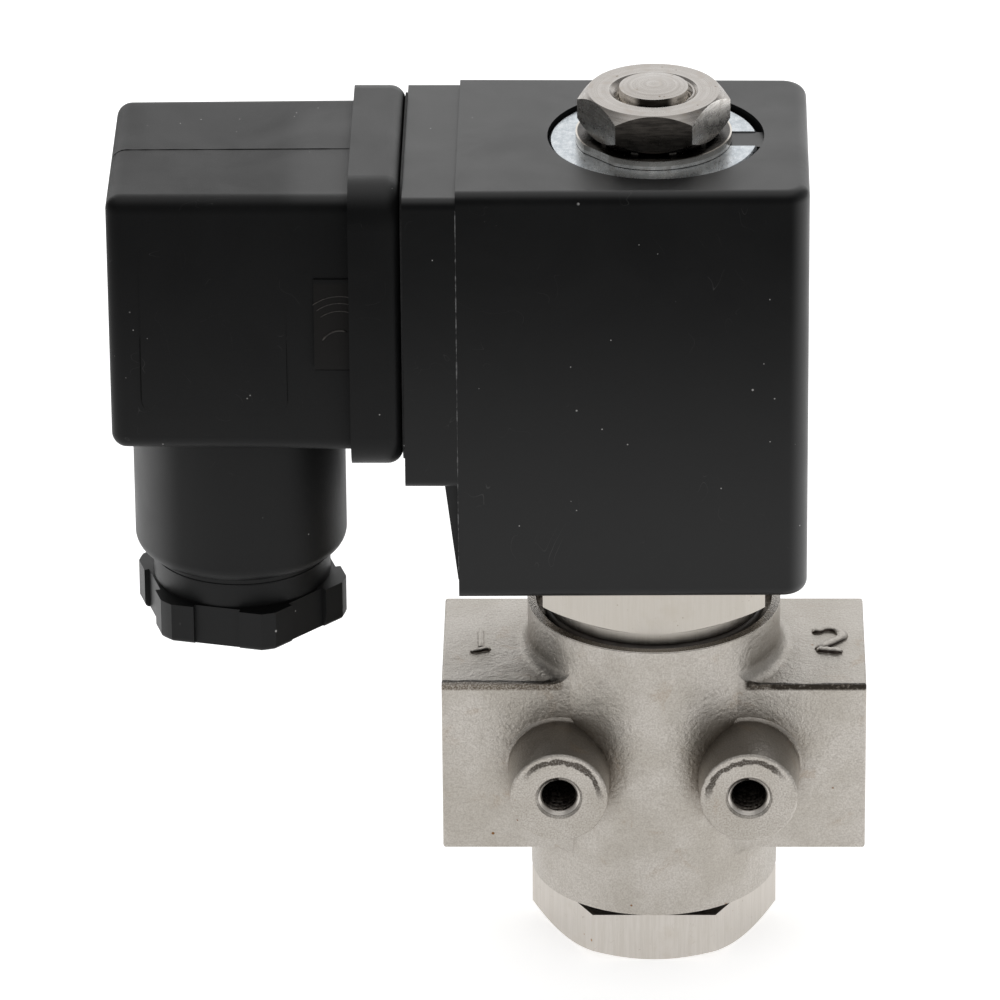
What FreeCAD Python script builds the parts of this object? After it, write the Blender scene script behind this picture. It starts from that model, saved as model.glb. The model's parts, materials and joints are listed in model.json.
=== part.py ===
import FreeCAD, Part
import os
import re
from FreeCAD import Placement, Rotation, Vector

# A direct-acting two-port solenoid valve, in millimetres.
# Origin: centre of the bottom plug's underside, on the valve's axis. +Z is up along that axis,
# port 1 opens to -X, port 2 to +X, the mounting bosses face -Y, and the connector is on -X.

SIZES = {
    # valve body
    "port_height": 21.0, "body_bottom": 5.9, "body_top": 35.1,
    "collar_bottom_rad": 12.17, "collar_top_rad": 12.43,
    "block_half_len": 20.75, "block_half_depth": 9.3, "block_bottom": 12.0, "block_top": 30.0,
    "block_edge": 0.25, "boss_edge": 0.25, "collar_blend": 1.4, "boss_flare": 0.25,
    "port_rad": 6.58, "port_depth": 12.0, "port_lead": 0.6,
    "boss_offset": 9.25, "boss_face": 16.0, "boss_rad": 4.75, "boss_root_rad": 5.15,
    "boss_sink": 2.0,
    "mount_rad": 2.0, "mount_depth": 7.5, "mount_lead": 0.3,
    "chamber_rad": 7.2, "web_bottom": 18.0, "web_top": 24.0, "seat_rad": 4.0,
    "spigot_rad": 9.7, "spigot_bottom": 28.5, "recess_rad": 11.6, "recess_bottom": 33.9,
    "plug_thread_rad": 8.25, "plug_thread_top": 12.0,
    "low_passage_height": 16.2, "high_passage_height": 25.9, "passage_rad": 1.6,
    # seat, plug and seals
    "seat_tip": 26.0, "seat_tip_rad": 2.0, "seat_cone_rad": 2.8, "orifice_rad": 1.5,
    "plug_flats": 21.0, "plug_head": 5.0, "plug_chamfer_rise": 5.0, "plug_chamfer_run": 8.66,
    "plug_hollow_rad": 5.0, "plug_floor": 1.0, "seal_rad": 10.0,
    "oring_wire_rad": 0.5, "oring_rad": 10.35,
    # tube nut and guide tube
    "shoulder_rad": 10.7, "square_bottom": 36.35, "square_top": 41.6, "square_flats": 21.6,
    "square_corner_rad": 14.0, "square_cone_rad": 10.9, "square_cone_run": 8.4,
    "tube_rad": 7.0, "tube_bore_rad": 6.5, "tube_top": 83.9, "tube_flange": 1.0,
    # plunger and fixed core
    "plunger_rad": 6.4, "plunger_bottom": 27.0, "plunger_top": 59.9, "plunger_groove": 1.4,
    "plunger_edge": 0.5, "plunger_seal_rad": 3.6, "plunger_seal_top": 29.0,
    "spring_bore_rad": 2.7, "spring_seat": 49.0, "spring_rad": 2.1, "spring_wire_rad": 0.3,
    "spring_turns": 8.0,
    "core_bottom": 62.0, "core_top": 84.05, "shading_in_rad": 4.2, "shading_out_rad": 5.1,
    "shading_depth": 1.5,
    "stud_rad": 4.0, "stud_tip_rad": 3.3, "stud_thread_top": 87.6, "stud_chamfer_top": 87.95,
    "stud_top": 89.85, "stud_dome_rad": 21.25,
    # washer and nut on the stud
    "washer_bottom": 84.15, "washer_top": 85.0, "washer_rad": 7.5, "washer_in_rad": 5.6,
    "tooth_rise": 0.3, "tooth_width": 0.7, "tooth_count": 10, "tooth_foot": 0.4,
    "tooth_gap": 0.15, "tooth_lap": 0.3, "washer_flat": 7.2, "washer_flat_turn": 223.5,
    "nut_flats": 12.7, "nut_bottom": 85.3, "nut_top": 89.2, "nut_face_rad": 6.3,
    "nut_lead_rad": 4.25, "nut_cone_run": 1.05,
    # coil
    "coil_left": 18.8, "coil_right": 14.8, "coil_half_depth": 14.2, "coil_right_half_depth": 13.9,
    "coil_bottom": 41.7, "coil_top": 84.5, "coil_edge": 1.15, "coil_corner": 2.4,
    "coil_opening_rad": 10.4,
    "coil_opening_shift": 0.2, "tongue_root": 0.5,
    "coil_bore_rad": 7.1, "bobbin_rad": 8.1, "winding_rad": 12.0, "yoke_in_rad": 12.2,
    "yoke_rad": 13.2, "yoke_bottom": 43.0, "yoke_top": 82.0, "bobbin_bottom": 45.5,
    "bobbin_top": 80.5, "bobbin_flange": 1.2, "disc_rad": 10.1, "disc_top": 84.1,
    "disc_chamfer": 0.25, "notch_start": 7.3, "notch_half_width": 1.7, "notch_top": 84.0,
    # terminal block on the coil
    "terminal_left": 23.85, "terminal_bottom": 53.6, "terminal_top": 83.9, "terminal_edge": 1.0,
    "rib_left": 20.3, "rib_foot": 0.1, "rib_half_depth": 12.0, "connector_height": 69.8,
    "blade_offset": 9.0, "blade_end": 35.0, "blade_root": 20.5, "blade_width": 6.3,
    "blade_thick": 0.8, "earth_drop": 7.6,
    "insert_rad": 2.6, "insert_bore_rad": 1.55, "insert_end": 19.4, "insert_floor": 0.8,
    # connector
    "gasket_left": 24.05, "gasket_half_width": 13.8, "gasket_bottom": 55.4, "gasket_top": 84.2,
    "gasket_corner": 3.6,
    "flange_left": 29.0, "flange_half_width": 14.3, "flange_bottom": 55.0, "flange_top": 84.9,
    "flange_corner": 4.0, "flange_edge": 1.5,
    "box_left": 52.1, "box_half_width": 12.35, "box_left_half_width": 12.15,
    "box_bottom": 56.5, "box_left_bottom": 56.7, "box_top": 83.25, "box_left_top": 83.15,
    "box_edge": 1.5, "box_lap": 0.5, "wall": 1.85,
    "barrel_centre": 40.4, "barrel_rad": 10.35, "barrel_bottom": 41.3, "barrel_bore_rad": 8.75,
    "barrel_edge": 1.5, "barrel_lap": 1.5,
    "panel_left": 49.0, "panel_right": 35.1, "panel_bottom": 60.8, "panel_top": 78.7,
    "panel_proud": 0.35, "panel_start": 0.03, "panel_corner": 1.5,
    "pad_left": 32.4, "pad_bottom": 65.8, "pad_top": 75.0, "pad_proud": 0.9, "pad_start": 0.35,
    "pad_slot": 0.4, "pad_slot_depth": 0.9,
    "carrier_left": 41.5, "carrier_right": 24.6, "carrier_half_width": 10.0,
    "carrier_bottom": 60.0, "carrier_top": 80.6,
    "contact_left": 38.0, "contact_right": 26.0, "contact_shift": 0.5, "contact_half_width": 3.9,
    "contact_half_thick": 1.5, "slot_end": 35.6, "slot_half_thick": 0.45, "slot_half_width": 3.25,
    "clamp_screw_rad": 1.2, "clamp_head_rad": 1.45, "clamp_head": 1.5, "clamp_screw_tip": 36.4,
    "screw_rad": 1.5, "screw_tip": 20.4, "screw_head_rad": 2.75, "screw_head": 2.0,
    "screw_recess_rad": 3.6, "screw_recess": 3.0, "screw_seal": 0.8, "screw_seal_rad": 3.4,
    "screw_slot_half": 0.35,
    "screw_slot_depth": 0.9, "screw_way_rad": 1.7,
    # cable gland
    "gland_neck_rad": 8.68, "gland_bottom": 34.0, "gland_head_top": 38.1, "gland_top": 46.0,
    "gland_hex_rad": 10.8, "gland_corner_rad": 10.4, "gland_bore_rad": 5.0, "gland_lip": 0.5,
    "gland_hollow": 0.5, "gland_hollow_half": 2.3, "gland_turn": 16.4,
    "ring_top": 46.9, "ring_bore_rad": 5.5, "grommet_rad": 8.6, "grommet_top": 54.0,
    "cable_rad": 3.6,
    # how far a cutting shape runs past what it cuts
    "overrun": 1.0,
}

UP = Rotation()
ALONG_X = Rotation(Vector(0, 1, 0), 90)
ALONG_Y = Rotation(Vector(1, 0, 0), -90)
QUARTER = Rotation(Vector(0, 0, 1), -90)
UPRIGHT_WEDGE = Rotation(Vector(0, 1, 0), Vector(0, 0, 1), Vector(1, 0, 0), "XYZ")

doc = FreeCAD.newDocument("solenoid_valve")
sheet = doc.addObject("Spreadsheet::Sheet", "sizes")
for row, (alias, value) in enumerate(SIZES.items(), start=1):
    sheet.set(f"A{row}", alias)
    sheet.set(f"B{row}", str(value))
    sheet.setAlias(f"B{row}", alias)
doc.recompute()
nodes = {}


# ---- bound shapes -------------------------------------------------------------------------

def formula(text):
    """The text as an expression, each size's name pointing at its cell."""
    def cell(found):
        word = found.group()
        return f"sizes.{word}" if word in SIZES else word
    return re.sub(r"[a-z][a-z_0-9]*", cell, text)


def bind(item, **sizes):
    """Ties each property of the item to a formula of sizes."""
    for name, text in sizes.items():
        item.setExpression(name, formula(text))
    return item


def place(item, x="0", y="0", z="0", turn=UP):
    """Puts the item's own origin at a bound place, turned."""
    item.Placement = Placement(Vector(), turn)
    for axis, text in zip("xyz", (x, y, z)):
        item.setExpression(f".Placement.Base.{axis}", formula(text))
    return item


def shape(kind):
    return doc.addObject(f"Part::{kind}", kind.lower())


def disc(radius, bottom, top, x="0", y="0"):
    """An upright cylinder between two heights."""
    item = bind(shape("Cylinder"), Radius=radius, Height=f"({top}) - ({bottom})")
    return place(item, x, y, bottom)


def cone(bottom_radius, top_radius, bottom, top, x="0"):
    """An upright cone between two heights."""
    item = bind(shape("Cone"), Radius1=bottom_radius, Radius2=top_radius,
                Height=f"({top}) - ({bottom})")
    return place(item, x, "0", bottom)


def rod_x(radius, start, end, y="0", z="port_height"):
    """A cylinder along X between two places, start below end."""
    item = bind(shape("Cylinder"), Radius=radius, Height=f"({end}) - ({start})")
    return place(item, start, y, z, ALONG_X)


def cone_x(start_radius, end_radius, start, end, z="port_height"):
    """A cone along X between two places, start below end."""
    item = bind(shape("Cone"), Radius1=start_radius, Radius2=end_radius,
                Height=f"({end}) - ({start})")
    return place(item, start, "0", z, ALONG_X)


def cone_y(start_radius, end_radius, start, end, x="0", z="port_height"):
    """A cone or cylinder along Y between two places, start below end."""
    if start_radius == end_radius:
        item = bind(shape("Cylinder"), Radius=start_radius, Height=f"({end}) - ({start})")
    else:
        item = bind(shape("Cone"), Radius1=start_radius, Radius2=end_radius,
                    Height=f"({end}) - ({start})")
    return place(item, x, start, z, ALONG_Y)


def block(x, y, z):
    """A box from three (low, high) pairs."""
    item = shape("Box")
    for name, (low, high) in zip(("Length", "Width", "Height"), (x, y, z)):
        item.setExpression(name, formula(f"({high}) - ({low})"))
    return place(item, x[0], y[0], z[0])


def hexagon(flats, bottom, top, x="0", turn=UP):
    """An upright hexagonal prism, one flat facing -Y unless it is turned."""
    item = shape("Prism")
    item.Polygon = 6
    bind(item, Circumradius=f"({flats}) / sqrt(3)", Height=f"({top}) - ({bottom})")
    return place(item, x, "0", bottom, turn)


def turned_box(length, width, bottom, top, reach, angle, x="0"):
    """An upright box whose inner face stands at a distance from an upright axis, turned about it."""
    item = bind(shape("Box"), Length=length, Width=width, Height=f"({top}) - ({bottom})")
    turn = Rotation(Vector(0, 0, 1), angle)
    outward = turn.multVec(Vector(1, 0, 0))
    item.Placement = Placement(Vector(), turn)
    for axis, start, out, side in (("x", x, outward.x, outward.y), ("y", "0", outward.y, -outward.x)):
        place_text = f"({start}) + ({reach}) * {out:.9f} + ({width}) / 2 * {side:.9f}"
        item.setExpression(f".Placement.Base.{axis}", formula(place_text))
    item.setExpression(".Placement.Base.z", formula(bottom))
    return item


def fuse(*items):
    item = shape("MultiFuse")
    item.Shapes = list(items)
    item.Refine = True
    return item


def cut(base, *tools):
    item = shape("Cut")
    item.Base = base
    item.Tool = tools[0] if len(tools) == 1 else fuse(*tools)
    return item


def common(first, second):
    item = shape("MultiCommon")
    item.Shapes = [first, second]
    return item


def ring(outer, inner, bottom, top, x="0"):
    """An upright tube between two heights."""
    return cut(disc(outer, bottom, top, x=x),
               disc(inner, f"{bottom} - overrun", f"{top} + overrun", x=x))


def soften(base, radius, chosen):
    """A body that takes over the base and rounds the edges that a test picks."""
    doc.recompute()
    edges = [f"Edge{i}" for i, edge in enumerate(base.Shape.Edges, start=1) if chosen(edge)]
    body = doc.addObject("PartDesign::Body", "body")
    body.BaseFeature = base
    start = body.Group[0]
    start.Placement = base.Placement
    for axis in "xyz":
        start.setExpression(f".Placement.Base.{axis}", f"{base.Name}.Placement.Base.{axis}")
    step = body.newObject("PartDesign::Fillet", "rounding")
    step.Base = (start, edges)
    bind(step, Radius=radius)
    body.Tip = step
    doc.recompute()
    return body


def node(label, item):
    """Names a finished piece; its label names its file."""
    item.Label = label
    nodes[label] = item


def size(alias):
    return SIZES[alias]


# ---- tests that pick edges ----------------------------------------------------------------

def near(value, target):
    return abs(value - target) < 0.02


def flat_at(edge, axis, target):
    """True when the whole edge lies in the plane where that axis equals the target."""
    box = edge.BoundBox
    low, high = (getattr(box, axis + "Min"), getattr(box, axis + "Max"))
    return near(low, target) and near(high, target)


def is_straight(edge):
    return edge.Curve.TypeId == "Part::GeomLine"


def runs_along(edge, axis):
    """True for a straight edge close to parallel with the axis."""
    if not is_straight(edge):
        return False
    along = edge.tangentAt(edge.FirstParameter)
    return abs(getattr(along, axis)) > 0.98


# ---- valve body and what screws into it ---------------------------------------------------

def make_valve_body():
    collar = cone("collar_bottom_rad", "collar_top_rad", "body_bottom", "body_top")
    ports = block(("-block_half_len", "block_half_len"), ("-block_half_depth", "block_half_depth"),
                  ("block_bottom", "block_top"))
    solid = fuse(collar, ports)

    def collar_joint(edge):
        heights = (size("block_top"), size("block_bottom"))
        in_plane = any(flat_at(edge, "Z", height) for height in heights)
        return in_plane and not is_straight(edge)

    solid = soften(solid, "collar_blend", collar_joint)

    bosses = []
    for side in ("-", ""):
        offset = f"{side}boss_offset"
        bosses.append(cone_y("boss_rad", "boss_root_rad", "-boss_face",
                             "boss_sink - block_half_depth", offset))
        bosses.append(cone_y("boss_root_rad", "boss_root_rad + boss_flare",
                             "-block_half_depth - boss_flare", "-block_half_depth", offset))
    solid = fuse(solid, *bosses)

    def outer_edge(edge):
        box = edge.BoundBox
        at_end = near(abs(box.XMin), size("block_half_len")) and near(box.XMin, box.XMax)
        return at_end and is_straight(edge)

    solid = soften(solid, "block_edge", outer_edge)

    def boss_rim(edge):
        return flat_at(edge, "Y", -size("boss_face"))

    solid = soften(solid, "boss_edge", boss_rim)

    hollows = [
        disc("plug_thread_rad", "body_bottom - overrun", "plug_thread_top"),
        disc("chamber_rad", "plug_thread_top - overrun", "web_bottom"),
        disc("seat_rad", "web_bottom - overrun", "web_top + overrun"),
        disc("chamber_rad", "web_top", "spigot_bottom + overrun"),
        disc("spigot_rad", "spigot_bottom", "body_top + overrun"),
        disc("recess_rad", "recess_bottom", "body_top + overrun"),
        rod_x("port_rad", "-block_half_len - overrun", "port_depth - block_half_len"),
        rod_x("port_rad", "block_half_len - port_depth", "block_half_len + overrun"),
        cone_x("port_rad + port_lead", "port_rad", "-block_half_len",
               "port_lead - block_half_len"),
        cone_x("port_rad", "port_rad + port_lead", "block_half_len - port_lead",
               "block_half_len"),
        rod_x("passage_rad", "port_depth - block_half_len - overrun", "overrun - chamber_rad",
              z="high_passage_height"),
        rod_x("passage_rad", "chamber_rad - overrun", "block_half_len - port_depth + overrun",
              z="low_passage_height"),
    ]
    for side in ("-", ""):
        hollows.append(cone_y("mount_rad", "mount_rad", "-boss_face - overrun",
                              "mount_depth - boss_face", f"{side}boss_offset"))
        hollows.append(cone_y("mount_rad + mount_lead", "mount_rad", "-boss_face",
                              "mount_lead - boss_face", f"{side}boss_offset"))
    node("valve_body", cut(solid, *hollows))


def make_seat_and_plug():
    seat = fuse(disc("seat_rad", "web_bottom", "web_top"),
                cone("seat_cone_rad", "seat_tip_rad", "web_top", "seat_tip"))
    node("seat_insert", cut(seat, disc("orifice_rad", "web_bottom - overrun", "seat_tip + overrun")))

    head = common(hexagon("plug_flats", "0", "plug_head"),
                  cone("plug_flats / 2", "plug_flats / 2 + plug_chamfer_run", "0",
                       "plug_chamfer_rise"))
    plug = fuse(head, disc("plug_thread_rad", "plug_head - overrun", "plug_thread_top"))
    node("bottom_plug", cut(plug, disc("plug_hollow_rad", "plug_head + plug_floor",
                                       "plug_thread_top + overrun")))
    node("bottom_plug_seal", ring("seal_rad", "plug_thread_rad", "plug_head", "body_bottom"))


def make_tube_nut():
    half = "square_flats / 2"
    square = block((f"-{half}", half), (f"-{half}", half), ("square_bottom", "square_top"))
    square = common(square, disc("square_corner_rad", "square_bottom - overrun", "square_top + overrun"))
    square = common(square, cone("square_cone_rad", "square_cone_rad + square_cone_run",
                                 "square_bottom", "square_top"))
    nut = fuse(square, disc("shoulder_rad", "body_top", "square_bottom"),
               disc("spigot_rad", "spigot_bottom + tube_flange", "body_top"))
    node("tube_nut", cut(nut, disc("tube_rad", "spigot_bottom", "square_top + overrun")))

    seal = bind(shape("Torus"), Radius1="oring_rad", Radius2="oring_wire_rad")
    node("body_oring", place(seal, z="recess_bottom + oring_wire_rad"))


# ---- tube, plunger and core ---------------------------------------------------------------

def make_guide_tube():
    tube = fuse(disc("tube_rad", "spigot_bottom", "tube_top"),
                disc("spigot_rad", "spigot_bottom", "spigot_bottom + tube_flange"))
    node("guide_tube", cut(tube, disc("tube_bore_rad", "spigot_bottom - overrun", "tube_top + overrun")))


def make_plunger():
    slug = fuse(disc("plunger_rad", "plunger_bottom + plunger_edge", "plunger_top"),
                cone("plunger_rad - plunger_edge", "plunger_rad", "plunger_bottom",
                     "plunger_bottom + plunger_edge"))
    half = "plunger_groove / 2"
    grooves = [block(side, (f"-{half}", half), ("plunger_bottom - overrun", "plunger_top + overrun"))
               for side in (("-plunger_rad - overrun", "-plunger_rad + plunger_edge"),
                            ("plunger_rad - plunger_edge", "plunger_rad + overrun"))]
    node("plunger", cut(slug, disc("spring_bore_rad", "spring_seat", "plunger_top + overrun"),
                        disc("plunger_seal_rad", "plunger_bottom - overrun", "plunger_seal_top"),
                        *grooves))
    node("plunger_seal", disc("plunger_seal_rad", "seat_tip", "plunger_seal_top"))


def make_plunger_spring():
    coil = bind(shape("Helix"), Radius="spring_rad",
                Height="core_bottom - spring_seat - 2 * spring_wire_rad",
                Pitch="(core_bottom - spring_seat - 2 * spring_wire_rad) / spring_turns")
    place(coil, z="spring_seat + spring_wire_rad")
    wire = bind(shape("Circle"), Radius="spring_wire_rad")
    place(wire, "spring_rad", "0", "spring_seat + spring_wire_rad", ALONG_Y)
    sweep = shape("Sweep")
    sweep.Sections = [wire]
    sweep.Spine = (coil, [])
    sweep.Solid = True
    sweep.Frenet = True
    node("plunger_spring", sweep)


def make_fixed_core():
    tip = common(disc("stud_tip_rad", "stud_chamfer_top - overrun", "stud_top + overrun"),
                 place(bind(shape("Sphere"), Radius="stud_dome_rad"),
                       z="stud_top - stud_dome_rad"))
    core = fuse(disc("tube_bore_rad", "core_bottom", "core_top"),
                disc("stud_rad", "core_top", "stud_thread_top"),
                cone("stud_rad", "stud_tip_rad", "stud_thread_top", "stud_chamfer_top"), tip)
    shading = ("shading_out_rad", "shading_in_rad", "core_bottom", "core_bottom + shading_depth")
    node("fixed_core", cut(core, ring(*shading)))
    node("shading_ring", ring(*shading))


def make_washer_and_nut():
    rim = ring("washer_rad", "washer_in_rad", "washer_bottom", "washer_top")
    count = int(size("tooth_count"))
    teeth = [turned_box("washer_in_rad + tooth_lap - stud_rad - tooth_gap", "tooth_width",
                        "washer_bottom + tooth_foot", "washer_top + tooth_rise",
                        "stud_rad + tooth_gap", 360 / count * number)
             for number in range(count)]
    flat = turned_box("washer_rad", "2 * washer_rad", "washer_bottom - overrun", "washer_top + overrun",
                      "washer_flat", size("washer_flat_turn"))
    node("lock_washer", fuse(cut(rim, flat), *teeth))

    prism = hexagon("nut_flats", "nut_bottom", "nut_top")
    wide = "nut_face_rad + nut_cone_run * (nut_top - nut_bottom)"
    nut = common(common(prism, cone("nut_face_rad", wide, "nut_bottom", "nut_top")),
                 cone(wide, "nut_face_rad", "nut_bottom", "nut_top"))
    lead = "(nut_lead_rad - stud_rad)"
    node("coil_nut", cut(nut, disc("stud_rad", "nut_bottom - overrun", "nut_top + overrun"),
                         cone("stud_rad", "nut_lead_rad", f"nut_top - {lead}", "nut_top"),
                         cone("nut_lead_rad", "stud_rad", "nut_bottom", f"nut_bottom + {lead}")))


# ---- coil ---------------------------------------------------------------------------------

def make_coil_housing():
    case = shape("Wedge")
    bind(case, Ymin="-coil_left", Ymax="coil_right",
         Xmin="-coil_half_depth", Xmax="coil_half_depth",
         X2min="-coil_right_half_depth", X2max="coil_right_half_depth",
         Zmin="coil_bottom", Zmax="coil_top", Z2min="coil_bottom", Z2max="coil_top")
    place(case, turn=QUARTER)

    def right_corner(edge):
        return runs_along(edge, "z") and near(edge.BoundBox.XMin, size("coil_right"))

    case = soften(case, "coil_corner", right_corner)

    def rim(edge):
        level = any(flat_at(edge, "Z", size(end)) for end in ("coil_bottom", "coil_top"))
        return level and not flat_at(edge, "X", -size("coil_left"))

    rounded = soften(case, "coil_edge", rim)
    hollow = cut(rounded, disc("yoke_rad", "yoke_bottom", "yoke_top"),
                 disc("coil_opening_rad", "yoke_top - overrun", "coil_top + overrun",
                      x="coil_opening_shift"),
                 disc("coil_opening_rad", "coil_bottom - overrun", "yoke_bottom + overrun"))
    tongue = common(block(("notch_start", "coil_opening_rad + overrun"),
                          ("-notch_half_width", "notch_half_width"), ("yoke_top", "notch_top")),
                    disc("coil_opening_rad + tongue_root", "yoke_top", "coil_top",
                         x="coil_opening_shift"))
    node("coil_housing", fuse(hollow, tongue))


def make_coil_inside():
    low_flange = "bobbin_bottom + bobbin_flange"
    high_flange = "bobbin_top - bobbin_flange"
    node("coil_bobbin", fuse(ring("bobbin_rad", "coil_bore_rad", "bobbin_bottom", "bobbin_top"),
                             ring("yoke_in_rad", "coil_bore_rad", "bobbin_bottom", low_flange),
                             ring("yoke_in_rad", "coil_bore_rad", high_flange, "bobbin_top")))
    node("coil_winding", ring("winding_rad", "bobbin_rad", low_flange, high_flange))
    node("yoke_sleeve", ring("yoke_rad", "yoke_in_rad", "bobbin_bottom", "bobbin_top"))
    node("bottom_pole_disc", ring("yoke_rad", "coil_bore_rad", "yoke_bottom", "bobbin_bottom"))
    top = fuse(disc("yoke_rad", "bobbin_top", "yoke_top"),
               disc("disc_rad", "yoke_top", "disc_top - disc_chamfer"),
               cone("disc_rad", "disc_rad - disc_chamfer", "disc_top - disc_chamfer", "disc_top"))
    notch = block(("notch_start", "disc_rad + overrun"), ("-notch_half_width", "notch_half_width"),
                  ("yoke_top", "disc_top + overrun"))
    bore = disc("coil_bore_rad", "bobbin_top - overrun", "disc_top + overrun")
    node("top_pole_disc", cut(top, bore, notch))


def make_terminal_block():
    plate = block(("-terminal_left", "-coil_left"), ("-coil_half_depth", "coil_half_depth"),
                  ("terminal_bottom", "terminal_top"))

    def top_and_sides(edge):
        box = edge.BoundBox
        lengthwise = runs_along(edge, "x")
        return lengthwise and box.ZMax > size("terminal_bottom") - 1

    plate = soften(plate, "terminal_edge", top_and_sides)
    rib = shape("Wedge")
    bind(rib, Xmin="-rib_half_depth", Xmax="rib_half_depth",
         X2min="-rib_half_depth", X2max="rib_half_depth",
         Zmin="-coil_left - rib_foot", Zmax="-coil_left", Z2min="-rib_left", Z2max="-coil_left",
         Ymin="coil_bottom + coil_edge", Ymax="terminal_bottom + overrun")
    place(rib, turn=UPRIGHT_WEDGE)
    solid = fuse(plate, rib)
    slots = [blade_power(side) for side in ("-", "")] + [blade_earth()]
    hole = rod_x("insert_rad", "-terminal_left - overrun", "-insert_end", z="connector_height")
    node("terminal_block", cut(solid, hole, *slots))
    node("power_terminal_a", blade_power("-"))
    node("power_terminal_b", blade_power(""))
    node("earth_terminal", blade_earth())
    node("screw_insert", cut(rod_x("insert_rad", "-terminal_left", "-insert_end",
                                   z="connector_height"),
                             rod_x("insert_bore_rad", "-terminal_left - overrun",
                                   "-insert_end - insert_floor", z="connector_height")))


def blade_power(side):
    """A flat blade that stands upright, one each side of the centre."""
    centre = f"({side}blade_offset)"
    return block(("-blade_end", "-blade_root"),
                 (f"{centre} - blade_thick / 2", f"{centre} + blade_thick / 2"),
                 ("connector_height - blade_width / 2", "connector_height + blade_width / 2"))


def blade_earth():
    """The flat blade that lies level, below the centre."""
    level = "(connector_height - earth_drop)"
    return block(("-blade_end", "-blade_root"), ("-blade_width / 2", "blade_width / 2"),
                 (f"{level} - blade_thick / 2", f"{level} + blade_thick / 2"))


# ---- connector ----------------------------------------------------------------------------

def make_gasket():
    pad = block(("-gasket_left", "-terminal_left"), ("-gasket_half_width", "gasket_half_width"),
                ("gasket_bottom", "gasket_top"))
    pad = soften(pad, "gasket_corner", lambda edge: runs_along(edge, "x"))
    way = block(("-gasket_left - overrun", "-terminal_left + overrun"),
                ("-carrier_half_width", "carrier_half_width"), ("carrier_bottom", "carrier_top"))
    node("connector_gasket", cut(pad, way))


def sloped_pad(ends, heights, foot, head):
    """A pad on the connector's front face, proud by one amount at its foot and one at its head."""
    pad = shape("Wedge")
    bind(pad, Ymin=heights[0], Ymax=heights[1], Zmin=ends[0], Zmax=ends[1],
         Z2min=ends[0], Z2max=ends[1],
         Xmin=f"-box_left_half_width - {foot}", Xmax="overrun - box_left_half_width",
         X2min=f"-box_left_half_width - {head}", X2max="overrun - box_left_half_width")
    return place(pad, turn=UPRIGHT_WEDGE)


def make_connector_housing():
    flange = block(("-flange_left", "-gasket_left"), ("-flange_half_width", "flange_half_width"),
                   ("flange_bottom", "flange_top"))
    flange = soften(flange, "flange_corner", lambda edge: runs_along(edge, "x"))
    flange = soften(flange, "flange_edge", lambda edge: flat_at(edge, "X", -size("gasket_left")))

    shell = shape("Wedge")
    bind(shell, Ymin="flange_left - box_lap", Ymax="box_left",
         Xmin="-box_half_width", Xmax="box_half_width",
         X2min="-box_left_half_width", X2max="box_left_half_width",
         Zmin="box_bottom", Zmax="box_top", Z2min="box_left_bottom", Z2max="box_left_top")
    place(shell, turn=Rotation(Vector(0, 0, 1), 90))

    def outer(edge):
        box = edge.BoundBox
        return box.XMin < -size("box_left") + 1

    shell = soften(shell, "box_edge", outer)
    barrel = disc("barrel_rad", "barrel_bottom", "box_bottom + barrel_lap", x="-barrel_centre")
    barrel = soften(barrel, "barrel_edge",
                    lambda edge: flat_at(edge, "Z", size("barrel_bottom")))
    front = "-box_left_half_width"
    panel = sloped_pad(("-panel_left", "-panel_right"), ("panel_bottom", "panel_top"),
                       "panel_proud", "panel_start")
    panel = soften(panel, "panel_corner", lambda edge: runs_along(edge, "y"))
    pad = sloped_pad(("-pad_left", "box_lap - flange_left"), ("pad_bottom", "pad_top"),
                     "pad_proud", "pad_start")
    solid = fuse(flange, shell, barrel, panel, pad)

    slot = block(("-pad_left", "-flange_left"),
                 (f"{front} - panel_proud - overrun", f"{front} + pad_slot_depth"),
                 ("pad_bottom - pad_slot", "pad_bottom"))

    inside = block(("-box_left + wall + screw_recess", "-gasket_left + overrun"),
                   ("-carrier_half_width", "carrier_half_width"),
                   ("box_bottom + wall", "carrier_top"))
    recess = [rod_x("screw_recess_rad", "-box_left - overrun", "-box_left + screw_recess",
                    z="connector_height"),
              rod_x("screw_way_rad", "-box_left", "-box_left + wall + screw_recess + overrun",
                    z="connector_height")]
    bore = disc("barrel_bore_rad", "barrel_bottom - overrun", "box_bottom + wall + overrun",
                x="-barrel_centre")
    node("connector_housing", cut(solid, slot, inside, bore, *recess))


def contact_places():
    """Each contact's label, centre (y, z) and whether its blade stands upright."""
    return (("contact_a", "(contact_shift - blade_offset)", "connector_height", True),
            ("contact_b", "(blade_offset - contact_shift)", "connector_height", True),
            ("contact_earth", "0", "(connector_height - earth_drop + contact_shift)", False))


def blade_bar(ends, y, z, upright, across, along):
    """A bar along X about a centre, its half widths across and along the blade there."""
    half_y, half_z = (across, along) if upright else (along, across)
    return block(ends, (f"{y} - {half_y}", f"{y} + {half_y}"),
                 (f"{z} - {half_z}", f"{z} + {half_z}"))


def contact_block(y, z, upright):
    return blade_bar(("-contact_left", "-contact_right"), y, z, upright,
                     "contact_half_thick", "contact_half_width")


def blade_slot(y, z, upright):
    return blade_bar(("-slot_end", "-carrier_right + overrun"), y, z, upright,
                     "slot_half_thick", "slot_half_width")


def blade_centres():
    """The three blades' centres, in the order of the contacts."""
    return (("(-blade_offset)", "connector_height"), ("blade_offset", "connector_height"),
            ("0", "(connector_height - earth_drop)"))


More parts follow.
